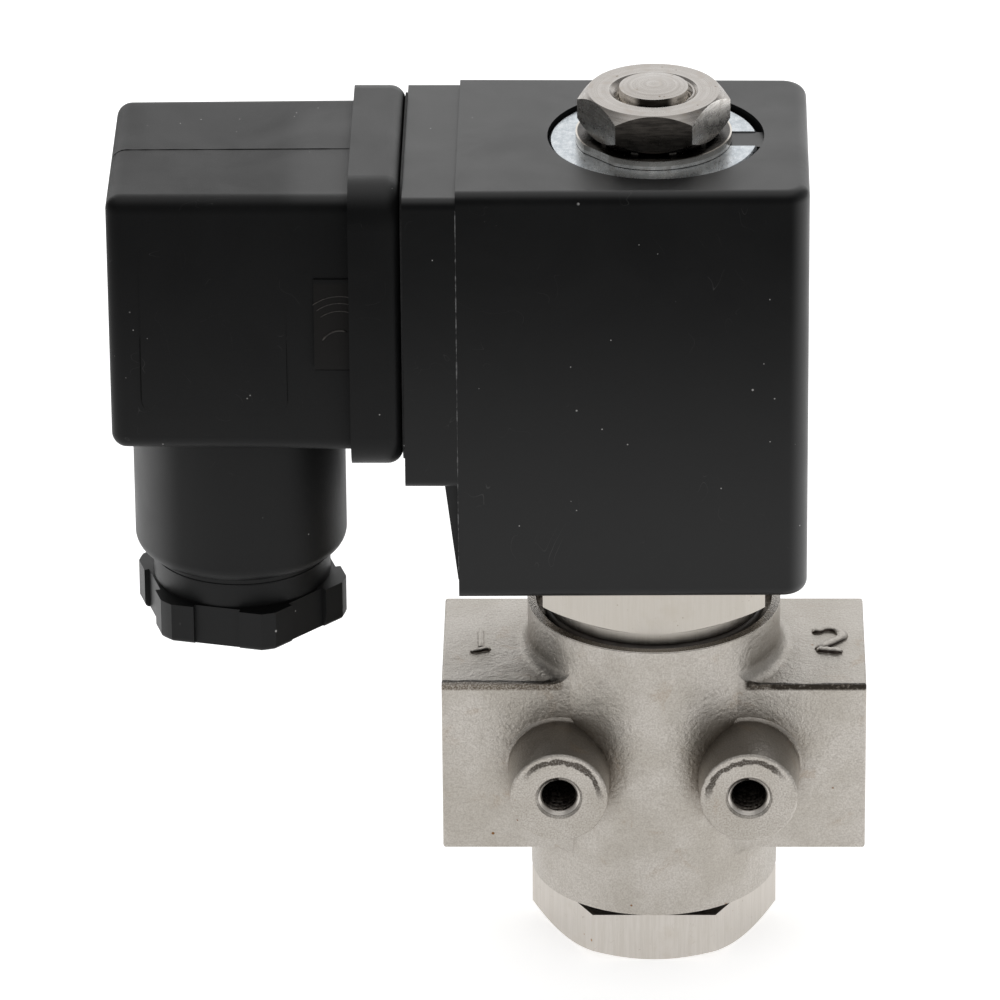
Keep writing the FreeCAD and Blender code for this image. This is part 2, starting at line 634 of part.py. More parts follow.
def make_contacts():
    carrier = block(("-carrier_left", "-carrier_right"),
                    ("-carrier_half_width", "carrier_half_width"),
                    ("carrier_bottom", "carrier_top"))
    hollows = [rod_x("screw_way_rad", "-carrier_left - overrun", "-carrier_right + overrun",
                     z="connector_height")]
    screws = []
    for (label, y, z, upright), (blade_y, blade_z) in zip(contact_places(), blade_centres()):
        thread = rod_x("clamp_screw_rad", "-contact_left - overrun", "-clamp_screw_tip", y, z)
        node(label, cut(contact_block(y, z, upright), blade_slot(blade_y, blade_z, upright),
                        thread))
        hollows.append(contact_block(y, z, upright))
        hollows.append(blade_slot(blade_y, blade_z, upright))
        hollows.append(rod_x("clamp_head_rad", "-carrier_left - overrun", "-contact_left", y, z))
        screws.append(rod_x("clamp_screw_rad", "-contact_left", "-clamp_screw_tip", y, z))
        screws.append(rod_x("clamp_head_rad", "-contact_left - clamp_head", "-contact_left", y, z))
    node("contact_carrier", cut(carrier, *hollows))
    node("clamp_screws", fuse(*screws))


def make_fixing_screw():
    seat = "(-box_left + screw_recess)"
    under = f"({seat} - screw_seal)"
    top = f"({under} - screw_head)"
    head = rod_x("screw_head_rad", top, under, z="connector_height")
    shank = rod_x("screw_rad", under, "-screw_tip", z="connector_height")
    slot = block((f"{top} - overrun", f"{top} + screw_slot_depth"), ("-screw_head_rad - overrun",
                 "screw_head_rad + overrun"), ("connector_height - screw_slot_half",
                                         "connector_height + screw_slot_half"))
    node("fixing_screw", cut(fuse(head, shank), slot))
    node("screw_seal", cut(rod_x("screw_seal_rad", under, seat, z="connector_height"),
                           rod_x("screw_rad", f"{under} - overrun", f"{seat} + overrun",
                                 z="connector_height")))


def make_gland():
    turn = Rotation(Vector(0, 0, 1), size("gland_turn") - 30)
    head = shape("Prism")
    head.Polygon = 6
    bind(head, Circumradius="gland_hex_rad", Height="gland_head_top - gland_bottom")
    place(head, "-barrel_centre", "0", "gland_bottom", turn)
    head = common(head, disc("gland_corner_rad", "gland_bottom", "gland_head_top",
                             x="-barrel_centre"))
    head = soften(head, "gland_lip", lambda edge: flat_at(edge, "Z", size("gland_bottom")))
    neck = disc("gland_neck_rad", "gland_head_top", "gland_top", x="-barrel_centre")
    hollows = [turned_box("gland_hollow + overrun", "2 * gland_hollow_half", "gland_bottom - overrun",
                          "gland_head_top", "gland_hex_rad * sqrt(3) / 2 - gland_hollow",
                          size("gland_turn") + 60 * number, "-barrel_centre")
               for number in range(6)]
    hollows.append(disc("gland_bore_rad", "gland_bottom - overrun", "gland_top + overrun",
                        x="-barrel_centre"))
    node("gland_nut", cut(fuse(head, neck), *hollows))
    node("gland_ring", ring("gland_neck_rad", "ring_bore_rad", "gland_top", "ring_top",
                            x="-barrel_centre"))
    node("gland_grommet", ring("grommet_rad", "cable_rad", "ring_top", "grommet_top",
                               x="-barrel_centre"))


for make in (make_valve_body, make_seat_and_plug, make_tube_nut, make_guide_tube, make_plunger,
             make_plunger_spring, make_fixed_core, make_washer_and_nut, make_coil_housing,
             make_coil_inside, make_terminal_block, make_gasket, make_connector_housing,
             make_contacts, make_fixing_screw, make_gland):
    make()

doc.recompute()
failed = [item.Label for item in doc.Objects if {"Invalid", "Error"} & set(item.State)]
failed += [label for label, item in nodes.items()
           if item.Shape.isNull() or not item.Shape.isValid() or item.Shape.Volume <= 0]
if failed:
    raise SystemExit(f"failed objects: {failed}")
os.makedirs("parts", exist_ok=True)
for label, item in nodes.items():
    item.Shape.exportStep(f"parts/{label}.step")
print(len(nodes), "nodes")
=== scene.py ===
import json
import math
import random

import bpy
from mathutils import Matrix, Vector


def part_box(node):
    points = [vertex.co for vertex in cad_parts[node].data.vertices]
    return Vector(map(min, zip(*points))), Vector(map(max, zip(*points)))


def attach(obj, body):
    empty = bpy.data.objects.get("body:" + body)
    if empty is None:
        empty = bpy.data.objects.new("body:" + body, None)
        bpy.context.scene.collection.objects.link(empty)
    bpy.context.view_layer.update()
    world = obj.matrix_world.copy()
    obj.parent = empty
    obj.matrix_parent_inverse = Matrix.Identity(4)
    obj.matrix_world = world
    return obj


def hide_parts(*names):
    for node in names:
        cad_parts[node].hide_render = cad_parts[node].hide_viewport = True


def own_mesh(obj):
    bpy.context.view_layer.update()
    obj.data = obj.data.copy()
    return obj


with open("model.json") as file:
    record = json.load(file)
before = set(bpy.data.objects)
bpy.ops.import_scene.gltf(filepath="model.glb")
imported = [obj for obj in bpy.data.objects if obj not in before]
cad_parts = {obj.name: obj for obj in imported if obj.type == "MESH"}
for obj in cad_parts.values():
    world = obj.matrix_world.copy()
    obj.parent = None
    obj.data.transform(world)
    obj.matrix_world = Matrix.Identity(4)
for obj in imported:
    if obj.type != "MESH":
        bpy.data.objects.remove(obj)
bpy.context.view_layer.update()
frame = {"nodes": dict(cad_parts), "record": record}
NODES = frame["nodes"]
MM = 0.001

# Places read from the frame, in millimetres.
def corners_mm(node):
    return [Vector(corner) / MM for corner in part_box(node)]


BODY_LOW, BODY_HIGH = corners_mm("valve_body")
TERMINAL_LOW, TERMINAL_HIGH = corners_mm("terminal_block")
PLUG_LOW = corners_mm("connector_housing")[0]
NUT_HIGH = corners_mm("coil_nut")[1]
MOUNTS = {mount["name"]: mount for mount in frame["record"]["mounts"]}
BODY_TOP = BODY_HIGH.z
PORT_HEIGHT = MOUNTS["port_1"]["pos_m"][2] / MM
BOSS_FACE = MOUNTS["mounting_holes"]["pos_m"][1] / MM
BOSS_OFFSET = MOUNTS["mounting_holes"]["dims"]["spacing_x_mm"] / 2
GLAND_X = MOUNTS["cable_entry"]["pos_m"][0] / MM

# Shapes of the casting, the threads and the connector that no box gives, in millimetres.
BLOCK_TOP = 30.0
BLOCK_FRONT = -9.3
PORT_PITCH, PORT_CREST = 1.337, 5.75
MOUNT_PITCH, MOUNT_CREST = 0.7, 1.65
FLANGE_LEFT = -29.0
CONNECTOR_TOP, CONNECTOR_TOP_LEFT = 83.25, 83.15
CONNECTOR_FRONT = -12.15
CONNECTOR_EDGE = 1.5
PAD_BOTTOM, PAD_TOP, PAD_PROUD, PAD_START = 65.8, 75.0, 0.9, 0.35
SPRING_WIRE, SPRING_TURNS = 0.3, 8.0
PANEL_LEFT, PANEL_RIGHT, PANEL_BOTTOM = -49.0, -35.1, 60.8
PANEL_CORNER, PANEL_SHADOW_RISE = 1.5, 8.0
NECK_RING_RADIUS, NECK_RING_HEIGHT = 8.66, 40.55


# ---- camera, floor and light --------------------------------------------------------------

def add_camera():
    """A long lens above the front, a little right of the object's middle."""
    data = bpy.data.cameras.new("camera")
    data.lens = 319.6
    data.clip_end = 10.0
    camera = bpy.data.objects.new("camera", data)
    bpy.context.scene.collection.objects.link(camera)
    aim = Matrix.Rotation(math.radians(90 - 27.64), 4, "X")
    aim @= Matrix.Rotation(math.radians(0.993), 4, "Y")
    aim @= Matrix.Rotation(math.radians(1.435), 4, "X")
    camera.matrix_world = Matrix.Translation((0.0, -0.7788, 0.4288)) @ aim
    bpy.context.scene.camera = camera


def add_softbox(name, place, target, width, depth, radiance):
    """A rectangular light that faces a target with the radiance asked for."""
    data = bpy.data.lights.new(name, "AREA")
    data.shape = "RECTANGLE"
    data.size = width
    data.size_y = depth
    data.energy = math.pi * width * depth * radiance
    light = bpy.data.objects.new(name, data)
    bpy.context.scene.collection.objects.link(light)
    facing = (Vector(target) - Vector(place)).to_track_quat("-Z", "Y")
    light.matrix_world = Matrix.Translation(place) @ facing.to_matrix().to_4x4()


def add_studio():
    """Softboxes above, behind and in front, over a white table that is lit from below."""
    add_softbox("overhead", (0.0, 0.05, 0.75), (0.0, 0.0, 0.04), 0.9, 0.9, 0.75)
    add_softbox("backdrop", (0.0, 0.75, 0.42), (0.0, 0.0, 0.05), 1.3, 0.8, 1.15)
    add_softbox("front", (0.1, -0.85, 0.75), (0.0, 0.0, 0.03), 0.9, 0.5, 0.55)
    world = bpy.data.worlds.new("studio")
    world.use_nodes = True
    background = world.node_tree.nodes["Background"]
    background.inputs["Color"].default_value = (1.0, 1.0, 1.0, 1.0)
    background.inputs["Strength"].default_value = 0.36
    bpy.context.scene.world = world
    bpy.context.scene.view_settings.view_transform = "Standard"

    half = 1.5
    mesh = bpy.data.meshes.new("floor")
    corners = [(-half, -half, 0), (half, -half, 0), (half, half, 0), (-half, half, 0)]
    mesh.from_pydata(corners, [], [(0, 1, 2, 3)])
    floor = bpy.data.objects.new("floor", mesh)
    floor.location.z = -0.05 * MM
    bpy.context.scene.collection.objects.link(floor)
    paint = Paint("light_table")
    paint.shader.inputs["Emission Color"].default_value = (1.0, 1.0, 1.0, 1.0)
    paint.shader.inputs["Emission Strength"].default_value = 0.62
    sheet = paint.noise(0.02, detail=2.0)
    color = paint.mix(sheet, grey(0.80), grey(0.84))
    mesh.materials.append(paint.finish(color, 0.8, specular=0.1))


# ---- shader graphs ------------------------------------------------------------------------

class Paint:
    """One material and short ways to add nodes to it. Places are in millimetres at rest."""

    def __init__(self, name):
        self.made = bpy.data.materials.new(name)
        self.made.use_nodes = True
        self.tree = self.made.node_tree
        self.shader = self.tree.nodes["Principled BSDF"]
        source = self.tree.nodes.new("ShaderNodeTexCoord")
        self.place = self.vector("MULTIPLY", source.outputs["Object"], (1000.0, 1000.0, 1000.0))
        self.x, self.y, self.z = self.parts(self.place)
        self.face_x, self.face_y, self.face_z = self.parts(source.outputs["Normal"])

    def feed(self, socket, value):
        if isinstance(value, bpy.types.NodeSocket):
            self.tree.links.new(value, socket)
        else:
            socket.default_value = value

    def add(self, kind, sockets, output=0, **settings):
        """A node with its sockets filled by name or number; gives back one output."""
        node = self.tree.nodes.new(f"ShaderNode{kind}")
        for key, value in settings.items():
            setattr(node, key, value)
        for key, value in sockets.items():
            self.feed(node.inputs[key], value)
        return node.outputs[output]

    def parts(self, vector):
        node = self.tree.nodes.new("ShaderNodeSeparateXYZ")
        self.tree.links.new(vector, node.inputs[0])
        return node.outputs["X"], node.outputs["Y"], node.outputs["Z"]

    def vector(self, operation, first, second):
        return self.add("VectorMath", {0: first, 1: second}, operation=operation)

    def maths(self, operation, first, second=0.0):
        return self.add("Math", {0: first, 1: second}, operation=operation)

    def both(self, first, *others):
        """The product of masks."""
        for other in others:
            first = self.maths("MULTIPLY", first, other)
        return first

    def either(self, first, *others):
        for other in others:
            first = self.maths("MAXIMUM", first, other)
        return first

    def stretched(self, x, y, z):
        """The place with each axis scaled, so that noise read there is drawn out."""
        return self.vector("MULTIPLY", self.place, (x, y, z))

    def noise(self, per_mm, detail=3.0, roughness=0.55, place=None, distortion=0.0):
        sockets = {"Vector": place or self.place, "Scale": per_mm, "Detail": detail,
                   "Roughness": roughness, "Distortion": distortion}
        return self.add("TexNoise", sockets, output="Fac")

    def ramp(self, value, low, high, start=0.0, end=1.0):
        """The value mapped from low..high to start..end and held outside."""
        sockets = {"Value": value, "From Min": low, "From Max": high,
                   "To Min": start, "To Max": end}
        return self.add("MapRange", sockets, clamp=True, interpolation_type="SMOOTHSTEP")

    def band(self, value, low, high, soft):
        """One between low and high, fading to nothing over the soft width outside."""
        return self.both(self.ramp(value, low - soft, low),
                         self.ramp(value, high, high + soft, 1.0, 0.0))

    def mix(self, share, first, second):
        """Blends two colours; the share is that of the second."""
        node = self.tree.nodes.new("ShaderNodeMix")
        node.data_type = "RGBA"
        for number, value in ((0, share), (6, first), (7, second)):
            self.feed(node.inputs[number], value)
        return node.outputs[2]

    def distance(self, first, second):
        """The length of the two values taken as a plane's coordinates."""
        flat = self.add("CombineXYZ", {"X": first, "Y": second, "Z": 0.0})
        return self.add("VectorMath", {0: flat}, output="Value", operation="LENGTH")

    def rings(self, per_mm):
        """Noise that changes only with the distance from the valve's axis, as turning leaves."""
        reach = self.distance(self.x, self.y)
        around = self.add("CombineXYZ", {"X": reach, "Y": 0.0, "Z": 0.0})
        return self.noise(per_mm, detail=4.0, place=around)

    def specks(self, per_mm, size, seed):
        """Small sparse spots, one at most in each cell."""
        moved = self.vector("ADD", self.place, (seed, seed, seed))
        cells = {"Vector": moved, "Scale": per_mm, "Randomness": 1.0}
        near = self.add("TexVoronoi", cells, output="Distance")
        chosen = self.noise(per_mm * 0.35, detail=1.0, place=moved)
        return self.both(self.ramp(near, size, size * 1.7, 1.0, 0.0),
                         self.ramp(chosen, 0.60, 0.62))

    def hairs(self, per_mm, width, seed):
        """Long thin wandering scratches, broken off where a second noise is low."""
        moved = self.vector("ADD", self.place, (seed, -seed, seed))
        field = self.noise(per_mm, detail=1.0, place=moved, distortion=1.5)
        centred = self.maths("ABSOLUTE", self.maths("SUBTRACT", field, 0.5))
        kept = self.ramp(self.noise(per_mm * 1.7, detail=0.0, place=moved), 0.62, 0.66)
        return self.both(self.ramp(centred, 0.0, width, 1.0, 0.0), kept)

    def shut(self, reach_mm):
        """How closed in the surface is, from open at nothing to a deep corner at one."""
        sockets = {"Distance": reach_mm * MM}
        open_share = self.add("AmbientOcclusion", sockets, output="AO", samples=8)
        return self.ramp(open_share, 0.25, 0.95, 1.0, 0.0)

    def bump(self, height, distance_mm, strength=1.0, under=None):
        sockets = {"Height": height, "Distance": distance_mm * MM, "Strength": strength}
        if under is not None:
            sockets["Normal"] = under
        return self.add("Bump", sockets, output="Normal")

    def finish(self, color, roughness, metallic=0.0, specular=0.5, normal=None):
        self.feed(self.shader.inputs["Base Color"], color)
        self.feed(self.shader.inputs["Roughness"], roughness)
        self.feed(self.shader.inputs["Specular IOR Level"], specular)
        self.shader.inputs["Metallic"].default_value = metallic
        if normal is not None:
            self.feed(self.shader.inputs["Normal"], normal)
        return self.made


def grey(value, warmth=0.0):
    """An opaque colour; warmth tips it from blue towards red."""
    return (value * (1 + warmth), value, value * (1 - warmth), 1.0)


def boss_masks(p):
    """Masks for painted shade on the mounting bosses: the upper side, the upper arc inside the rim,
    and the tapped bore.
    """
    across = p.maths("SUBTRACT", p.maths("ABSOLUTE", p.x), BOSS_OFFSET)
    above = p.maths("SUBTRACT", p.z, PORT_HEIGHT)
    reach = p.distance(across, above)
    ahead = p.ramp(p.y, BLOCK_FRONT - 0.25, BLOCK_FRONT - 0.05, 1.0, 0.0)
    side = p.both(ahead, p.band(reach, 3.2, 6.2, 0.25), p.ramp(p.face_z, 0.05, 0.75),
                  p.ramp(p.y, BOSS_FACE + 0.1, BOSS_FACE + 0.3))
    wander = p.maths("MULTIPLY_ADD", p.noise(1.1, detail=4.0), 0.9)
    face = p.ramp(p.y, BOSS_FACE + 0.05, BOSS_FACE + 0.15, 1.0, 0.0)
    upper_rim_shade = p.both(face, p.band(p.maths("ADD", reach, wander), 4.72, 5.10, 0.16),
                  p.ramp(p.maths("ADD", above, p.maths("MULTIPLY", across, -0.3)), 0.6, 2.6))
    bore = p.both(p.ramp(reach, 2.0, 2.12, 1.0, 0.0), p.ramp(p.y, -8.0, -7.8, 1.0, 0.0))
    return side, upper_rim_shade, bore


def block_edge_masks(p):
    """Masks for the casting's joint: a dark line on the block's top and the rough edge."""
    outside = p.ramp(p.distance(p.x, p.y), 12.7, 13.1)
    high = p.ramp(p.z, BLOCK_TOP - 0.75, BLOCK_TOP - 0.45)
    wander = p.maths("MULTIPLY", p.maths("SUBTRACT", p.noise(0.35, detail=5.0), 0.5), 0.9)
    tilt = p.maths("MULTIPLY", p.x, 0.020)
    depth = p.maths("ADD", p.maths("ADD", p.y, wander), tilt)
    line = p.both(outside, high, p.band(depth, BLOCK_FRONT + 0.26, BLOCK_FRONT + 0.52, 0.18))
    edge = p.both(outside, high, p.ramp(depth, BLOCK_FRONT + 0.35, BLOCK_FRONT + 0.55, 1.0, 0.0))
    return line, edge


def paint_cast_stainless():
    """Blasted casting: pitted skin, random brown stains and a dark joint line, with painted shade on
    the tops, in the corners, on the bosses and in their bores, and on the numerals' fronts.
    """
    p = Paint("cast_stainless")
    cloud = p.noise(0.16, detail=4.0)
    pits = p.noise(2.6, detail=3.0, roughness=0.5)
    grain = p.noise(6.0, detail=3.0, roughness=0.6)
    color = p.mix(p.ramp(cloud, 0.35, 0.65), (0.46, 0.43, 0.385, 1.0), (0.54, 0.51, 0.47, 1.0))
    color = p.mix(p.ramp(grain, 0.34, 0.64, 0.0, 0.42), color, (0.34, 0.305, 0.27, 1.0))
    # Painted shade: faces that look up are darkened.
    color = p.mix(p.ramp(p.face_z, 0.55, 0.95, 0.0, 0.34), color, (0.27, 0.255, 0.235, 1.0))
    # Painted shade: brown darkening where the surface is closed in, in corners and hollows.
    corner = p.both(p.shut(3.2), p.ramp(pits, 0.2, 0.7, 0.6, 1.0))
    color = p.mix(p.maths("MULTIPLY", corner, 0.80), color, (0.13, 0.105, 0.08, 1.0))
    side, upper_rim_shade, bore = boss_masks(p)
    line, edge = block_edge_masks(p)
    # Painted shade on the bosses' upper sides.
    color = p.mix(p.maths("MULTIPLY", side, 0.50), color, (0.13, 0.115, 0.10, 1.0))
    # Painted shade on the upper arc inside each boss face's rim.
    color = p.mix(p.both(upper_rim_shade, p.ramp(grain, 0.3, 0.55, 0.55, 1.0)), color,
                  (0.05, 0.043, 0.037, 1.0))
    face = p.both(p.ramp(p.y, BOSS_FACE + 0.1, BOSS_FACE + 0.2, 1.0, 0.0), p.ramp(grain, 0.36, 0.72))
    color = p.mix(p.maths("MULTIPLY", face, 0.28), color, (0.22, 0.19, 0.155, 1.0))
    color = p.mix(p.both(edge, p.ramp(grain, 0.35, 0.60, 0.40, 0.95)), color,
                  (0.12, 0.098, 0.075, 1.0))
    color = p.mix(p.both(line, p.ramp(pits, 0.25, 0.5, 0.55, 1.0)), color,
                  (0.03, 0.025, 0.02, 1.0))
    # Painted shade on the front faces of the raised port numerals.
    raised = p.both(p.ramp(p.z, BLOCK_TOP + 0.03, BLOCK_TOP + 0.12),
                    p.ramp(p.maths("ABSOLUTE", p.x), 14.2, 14.5),
                    p.ramp(p.face_y, -0.55, -0.25, 1.0, 0.0))
    color = p.mix(raised, color, (0.045, 0.035, 0.03, 1.0))
    stain = p.both(p.ramp(p.noise(0.28, detail=5.0, distortion=0.8), 0.60, 0.70), grain)
    color = p.mix(p.maths("MULTIPLY", stain, 0.40), color, (0.30, 0.21, 0.13, 1.0))
    color = p.mix(p.specks(0.45, 0.05, 3.0), color, (0.20, 0.10, 0.04, 1.0))
    # Painted shade inside the tapped bores.
    color = p.mix(bore, color, (0.05, 0.045, 0.04, 1.0))
    machined = p.ramp(p.z, BODY_TOP - 0.12, BODY_TOP - 0.04)
    roughness = p.maths("SUBTRACT", p.ramp(grain, 0.3, 0.7, 0.36, 0.50),
                        p.maths("MULTIPLY", machined, 0.20))
    cast = p.maths("SUBTRACT", 1.0, machined)
    swell = p.bump(p.both(p.noise(0.55, detail=2.0), cast), 0.20, 0.5)
    pitted = p.bump(p.both(pits, cast), 0.085, 0.8, under=swell)
    return p.finish(color, roughness, metallic=1.0, normal=p.bump(grain, 0.045, 0.7, pitted))


def paint_machined_stainless():
    """Cream satin stainless with faint drawn streaks and a few rust specks."""
    p = Paint("machined_stainless")
    streak = p.noise(1.0, detail=4.0, place=p.stretched(3.2, 3.2, 0.12))
    fine = p.noise(1.0, detail=3.0, place=p.stretched(14.0, 14.0, 0.6))
    cloud = p.noise(0.35, detail=4.0)
    both = p.maths("ADD", p.maths("MULTIPLY", streak, 0.6), p.maths("MULTIPLY", fine, 0.4))
    color = p.mix(p.ramp(both, 0.36, 0.64), (0.545, 0.51, 0.465, 1.0), (0.615, 0.58, 0.54, 1.0))
    color = p.mix(p.ramp(cloud, 0.55, 0.75, 0.0, 0.35), color, (0.48, 0.43, 0.36, 1.0))
    color = p.mix(p.ramp(p.z, 30.0, 34.0, 0.0, 0.45), color, (0.39, 0.36, 0.31, 1.0))
    color = p.mix(p.specks(0.55, 0.06, 11.0), color, (0.30, 0.16, 0.06, 1.0))
    color = p.mix(p.hairs(0.5, 0.004, 5.0), color, (0.35, 0.30, 0.25, 1.0))
    dirt = p.both(p.specks(1.4, 0.07, 29.0), p.ramp(p.z, 34.0, 36.0))
    color = p.mix(p.maths("MULTIPLY", dirt, 0.6), color, (0.24, 0.19, 0.13, 1.0))
    roughness = p.ramp(both, 0.35, 0.65, 0.30, 0.40)
    return p.finish(color, roughness, metallic=1.0, normal=p.bump(both, 0.012, 0.5))


def paint_bright_stainless():
    """Fastener steel with turning rings on the ends. Painted light: darker ends and brighter sides,
    and the nut's front flat and the washer's top painted near black as shade.
    """
    p = Paint("bright_stainless")
    end = p.ramp(p.maths("ABSOLUTE", p.face_z), 0.45, 0.62)
    ring = p.both(p.rings(2.6), end)
    soft = p.noise(0.9, detail=4.0)
    smear = p.noise(1.0, detail=3.0, place=p.stretched(0.7, 0.7, 5.0))
    # Painted light: the ends take a darker colour as shade, the sides a brighter one as lit faces.
    top = p.mix(p.ramp(ring, 0.3, 0.7), (0.27, 0.25, 0.23, 1.0), (0.37, 0.35, 0.33, 1.0))
    flat = p.mix(p.ramp(smear, 0.35, 0.65), (0.70, 0.67, 0.63, 1.0), (0.88, 0.85, 0.81, 1.0))
    color = p.mix(end, flat, top)
    color = p.mix(p.ramp(soft, 0.50, 0.72, 0.0, 0.45), color, (0.30, 0.26, 0.22, 1.0))
    color = p.mix(p.specks(1.3, 0.10, 17.0), color, (0.16, 0.13, 0.10, 1.0))
    # Painted shade: the nut's front flat and the washer's top, near black.
    front = p.both(p.ramp(p.face_y, -0.93, -0.80, 1.0, 0.0), p.ramp(p.z, 84.9, 85.2))
    washer_top_shade = p.both(p.band(p.z, 84.7, 85.1, 0.05), end, p.ramp(p.y, -6.9, -6.7))
    shade = p.mix(p.ramp(smear, 0.3, 0.7), (0.022, 0.020, 0.018, 1.0), (0.05, 0.045, 0.04, 1.0))
    color = p.mix(p.either(front, washer_top_shade), color, shade)
    reach = p.distance(p.x, p.y)
    # A mid grey band at the washer's outer rim.
    tone_mask = p.both(p.band(p.z, 84.5, 85.05, 0.03), p.ramp(reach, 7.28, 7.38))
    color = p.mix(tone_mask, color, (0.50, 0.47, 0.43, 1.0))
    roughness = p.ramp(soft, 0.3, 0.7, 0.24, 0.32)
    return p.finish(color, roughness, metallic=1.0, normal=p.bump(ring, 0.025, 0.5))


def paint_zinc():
    """Bright zinc plate with a cool mottled skin."""
    p = Paint("zinc_steel")
    mottle = p.noise(1.6, detail=5.0, roughness=0.7)
    brushed = p.noise(1.0, detail=2.0, place=p.stretched(5.0, 0.9, 5.0))
    color = p.mix(p.ramp(mottle, 0.35, 0.65), (0.34, 0.37, 0.395, 1.0), (0.475, 0.50, 0.52, 1.0))
    color = p.mix(p.specks(1.1, 0.09, 23.0), color, (0.28, 0.30, 0.32, 1.0))
    roughness = p.ramp(brushed, 0.3, 0.7, 0.24, 0.36)
    return p.finish(color, roughness, metallic=1.0, normal=p.bump(mottle, 0.02, 0.6))


def paint_spring_steel():
    p = Paint("spring_steel")
    drawn = p.noise(6.0, detail=3.0)
    color = p.mix(p.ramp(drawn, 0.3, 0.7), grey(0.42, 0.02), grey(0.60, 0.02))
    return p.finish(color, p.ramp(drawn, 0.3, 0.7, 0.2, 0.35), metallic=1.0,
                    normal=p.bump(drawn, 0.01))


def paint_copper():
    """Enamelled copper in level turns of wire, painted darker between turns as shade."""
    p = Paint("copper")
    # Painted shade: dark bands in the grooves between the wire's turns.
    turn = p.maths("ABSOLUTE", p.maths("SINE", p.maths("MULTIPLY", p.z, math.pi / 0.45)))
    cloud = p.noise(0.8, detail=3.0)
    color = p.mix(p.ramp(turn, 0.0, 0.5), (0.16, 0.05, 0.025, 1.0), (0.72, 0.30, 0.16, 1.0))
    color = p.mix(p.ramp(cloud, 0.4, 0.7, 0.0, 0.3), color, (0.45, 0.16, 0.07, 1.0))
    return p.finish(color, p.ramp(cloud, 0.3, 0.7, 0.22, 0.34), metallic=1.0,
                    normal=p.bump(turn, 0.12))


def paint_milled(name, low, high):
    """Milled plate metal between two colours."""
    p = Paint(name)
    milled = p.noise(1.0, detail=3.0, place=p.stretched(0.5, 6.0, 6.0))
    cloud = p.noise(0.5, detail=3.0)
    color = p.mix(p.ramp(cloud, 0.3, 0.7), low, high)
    return p.finish(color, p.ramp(milled, 0.3, 0.7, 0.24, 0.38), metallic=1.0,
                    normal=p.bump(milled, 0.012))


def paint_rubber():
    p = Paint("seal_rubber")
    fine = p.noise(7.0, detail=4.0)
    cloud = p.noise(0.4, detail=3.0)
    color = p.mix(p.ramp(cloud, 0.3, 0.7), grey(0.006), grey(0.013))
    color = p.mix(p.specks(0.9, 0.05, 7.0), color, grey(0.20))
    return p.finish(color, p.ramp(fine, 0.3, 0.7, 0.62, 0.8), specular=0.3,
                    normal=p.bump(fine, 0.03, 0.7))


def paint_black_plastic(name, top_gloss, end_gloss, low_gloss, rough, seed, grain_mm):
    """Black moulding with dust and hairs. Its specular level paints light: lower higher up the sides
    as painted shade, and raised at the coil's right edge and the barrel's left side as painted
    highlight."""
    p = Paint(name)
    skin = p.noise(8.0, detail=4.0, roughness=0.7)
    flow = p.noise(0.09, detail=5.0, roughness=0.6, distortion=0.6)
    color = p.mix(p.ramp(flow, 0.3, 0.7), grey(0.0045, -0.03), grey(0.0065, -0.02))
    dust = p.either(p.specks(0.30, 0.030, seed), p.specks(0.75, 0.036, seed + 9.0))
    hair = p.hairs(0.16, 0.0016, seed)
    color = p.mix(p.either(dust, p.maths("MULTIPLY", hair, 0.07)), color, grey(0.34, 0.02))
    pad = p.both(p.band(p.x, -32.35, FLANGE_LEFT - 0.05, 0.05), p.ramp(p.y, -12.35, -12.3, 1.0, 0.0),
                 p.band(p.z, PAD_BOTTOM, PAD_TOP - 0.6, 0.4))
    color = p.mix(pad, color, (0.0078, 0.0072, 0.0068, 1.0))
    upward = p.ramp(p.face_z, 0.45, 0.92)
    # Painted light through the specular level: raised at the coil's right edge and the barrel's left
    # side as highlight, lowered higher up the sides as shade.
    corner = p.ramp(p.x, 12.9, 14.5, 0.0, 0.42)
    barrel = p.both(p.ramp(p.z, 55.0, 56.5, 0.45, 0.0), p.ramp(p.face_x, -0.9, -0.5, 1.0, 0.0))
    side_gloss = p.maths("ADD", p.ramp(p.z, 44.0, 84.0, low_gloss, 0.05), p.either(corner, barrel))
    gloss = p.maths("ADD", p.both(p.maths("SUBTRACT", 1.0, upward), side_gloss),
                    p.both(upward, p.ramp(p.x, -36.0, -33.0, end_gloss, top_gloss)))
    roughness = p.maths("ADD", p.ramp(flow, 0.3, 0.7, rough - 0.04, rough + 0.04),
                        p.maths("MULTIPLY", hair, 0.06))
    sag = p.bump(p.noise(0.10, detail=2.0), 0.10, 0.35)
    return p.finish(color, roughness, specular=gloss, normal=p.bump(skin, grain_mm, 0.8, sag))


def paint_seam_flash():
    """The thin pale edge that plastic squeezes out along a mould joint."""
    p = Paint("seam_flash")
    broken = p.noise(1.6, detail=4.0)
    color = p.mix(p.ramp(broken, 0.42, 0.62), grey(0.006), grey(0.11))
    return p.finish(color, 0.55, specular=0.4, normal=p.bump(broken, 0.02))


def paint_dark_line():
    p = Paint("dark_line")
    broken = p.noise(2.2, detail=3.0)
    color = p.mix(p.ramp(broken, 0.35, 0.65), grey(0.002), grey(0.006))
    return p.finish(color, 0.8, specular=0.1, normal=p.bump(broken, 0.01))


def paint_bore_thread():
    """Thread crests deep in a bore: painted dark as the bore's shade, lighter in patches."""
    p = Paint("bore_thread")
    tone_mask = p.noise(3.0, detail=3.0)
    color = p.mix(p.ramp(tone_mask, 0.4, 0.7), (0.07, 0.06, 0.052, 1.0), (0.22, 0.20, 0.18, 1.0))
    return p.finish(color, p.ramp(tone_mask, 0.3, 0.7, 0.25, 0.4), metallic=1.0,
                    normal=p.bump(tone_mask, 0.02))


